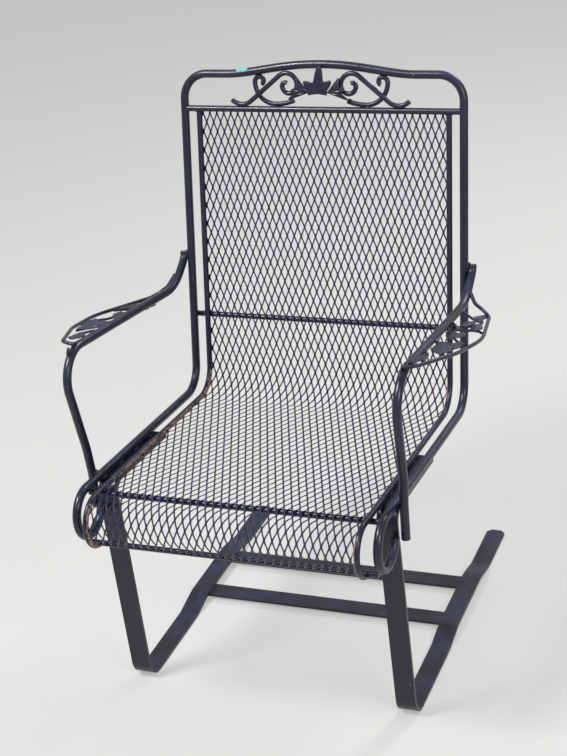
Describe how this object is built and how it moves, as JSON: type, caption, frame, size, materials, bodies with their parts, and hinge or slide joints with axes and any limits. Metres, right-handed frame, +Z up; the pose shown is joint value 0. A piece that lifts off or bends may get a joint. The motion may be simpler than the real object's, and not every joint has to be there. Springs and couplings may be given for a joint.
{
  "type": "patio armchair",
  "caption": "High-back metal patio armchair with a mesh seat and back in one sheet, vine ornaments at the arms and crest, and a sprung base of bent flat bar.",
  "frame": {"origin": "on the floor, at the middle of the chair's width and of its length", "axes": "+Z up, the chair faces -Y, +X runs across it from its left side to its right side as seen from in front"},
  "size_m": [0.7646, 0.7919, 1.0643],
  "materials": {
    "frame_paint": "semi-gloss enamel over iron bar, chipped and worn in places",
    "mesh_paint": "semi-gloss enamel over expanded metal, worn along its edges",
    "ornament_paint": "semi-gloss enamel over bent rod, with small chips",
    "leaf_paint": "semi-gloss enamel over stamped leaves, with worn ribs",
    "spring_paint": "semi-gloss enamel over flat bar, with chips near its ends"
  },
  "bodies": {
    "root": {"outer_frame_bar": "frame_paint", "side_rod_left": "frame_paint", "side_rod_right": "frame_paint", "top_cross_bar": "frame_paint", "mid_back_cross_rod": "frame_paint", "seat_front_cross_rod": "frame_paint", "front_roll_cross_rod": "frame_paint", "mesh_sheet": "mesh_paint", "arm_bar_left": "frame_paint", "arm_bar_right": "frame_paint", "arm_band_left": "ornament_paint", "arm_band_right": "ornament_paint", "arm_vine_left": "ornament_paint", "arm_vine_right": "ornament_paint", "arm_leaves_left": "leaf_paint", "arm_leaves_right": "leaf_paint", "crest_s_scroll_left": "ornament_paint", "crest_s_scroll_right": "ornament_paint", "crest_c_scroll_left": "ornament_paint", "crest_c_scroll_right": "ornament_paint", "crest_tulip_left": "leaf_paint", "crest_tulip_right": "leaf_paint", "crest_centre_leaf": "leaf_paint", "spring_leg_left": "spring_paint", "spring_leg_right": "spring_paint", "floor_cross_bar_front": "spring_paint", "floor_cross_bar_rear": "spring_paint"}
  },
  "joints": []
}
